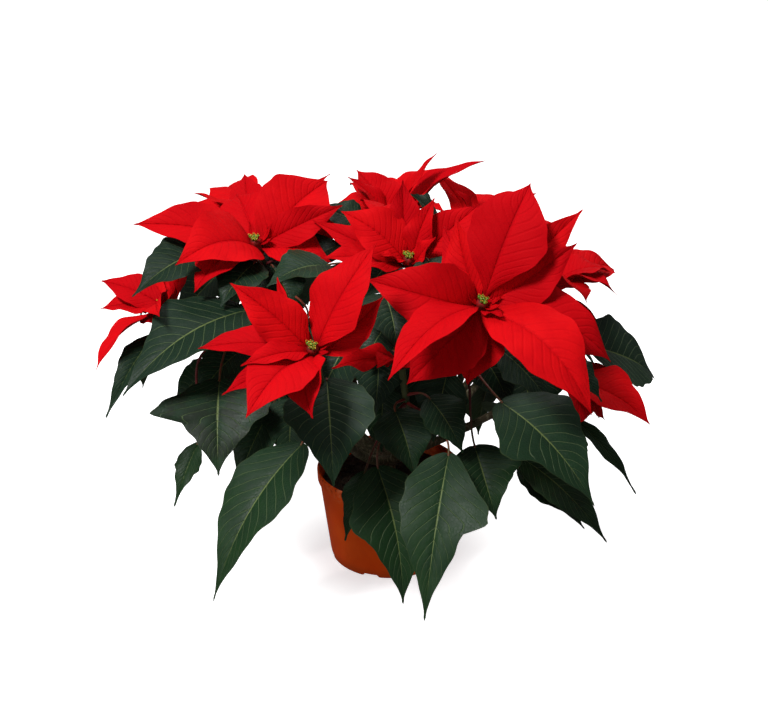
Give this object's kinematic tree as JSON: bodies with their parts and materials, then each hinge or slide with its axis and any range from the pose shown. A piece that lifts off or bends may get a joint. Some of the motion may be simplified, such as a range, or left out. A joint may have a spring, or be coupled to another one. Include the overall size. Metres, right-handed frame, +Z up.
{
  "type": "potted poinsettia plant",
  "caption": "Potted poinsettia: tapered growing pot with soil, branching woody stem, lobed dark green leaves and layered red bract rosettes with small yellow buds.",
  "frame": {"origin": "on the floor under the middle of the pot's foot", "axes": "+Z up along the pot's axis, +X to the right of the front view, -Y towards the viewer"},
  "size_m": [0.4996, 0.4421, 0.3643],
  "materials": {
    "pot_plastic": "satin",
    "potting_soil": "matte",
    "green_wood": "matte",
    "leaf_green": "satin",
    "bract_red": "matte",
    "bud_yellow": "satin"
  },
  "bodies": {
    "root": {"pot": "pot_plastic", "soil": "potting_soil", "woody_stem": "green_wood", "shoot_front_right": "leaf_green", "bloom_front_right": "bract_red", "cyathia_front_right": "bud_yellow", "shoot_front_left": "leaf_green", "bloom_front_left": "bract_red", "cyathia_front_left": "bud_yellow", "shoot_left": "leaf_green", "bloom_left": "bract_red", "cyathia_left": "bud_yellow", "shoot_middle": "leaf_green", "bloom_middle": "bract_red", "cyathia_middle": "bud_yellow", "shoot_rear_middle": "leaf_green", "bloom_rear_middle": "bract_red", "cyathia_rear_middle": "bud_yellow", "shoot_rear_right": "leaf_green", "bloom_rear_right": "bract_red", "cyathia_rear_right": "bud_yellow", "shoot_right": "leaf_green", "bloom_right": "bract_red", "cyathia_right": "bud_yellow", "shoot_far_left": "leaf_green", "bloom_far_left": "bract_red", "cyathia_far_left": "bud_yellow", "shoot_rear_left": "leaf_green", "bloom_rear_left": "bract_red", "cyathia_rear_left": "bud_yellow", "shoot_low_right": "leaf_green", "bloom_low_right": "bract_red", "cyathia_low_right": "bud_yellow", "shoot_low_middle": "leaf_green", "bloom_low_middle": "bract_red", "cyathia_low_middle": "bud_yellow", "shoot_back_left": "leaf_green", "bloom_back_left": "bract_red", "cyathia_back_left": "bud_yellow", "shoot_back_middle": "leaf_green", "bloom_back_middle": "bract_red", "cyathia_back_middle": "bud_yellow", "shoot_back_right": "leaf_green", "bloom_back_right": "bract_red", "cyathia_back_right": "bud_yellow"}
  },
  "joints": []
}
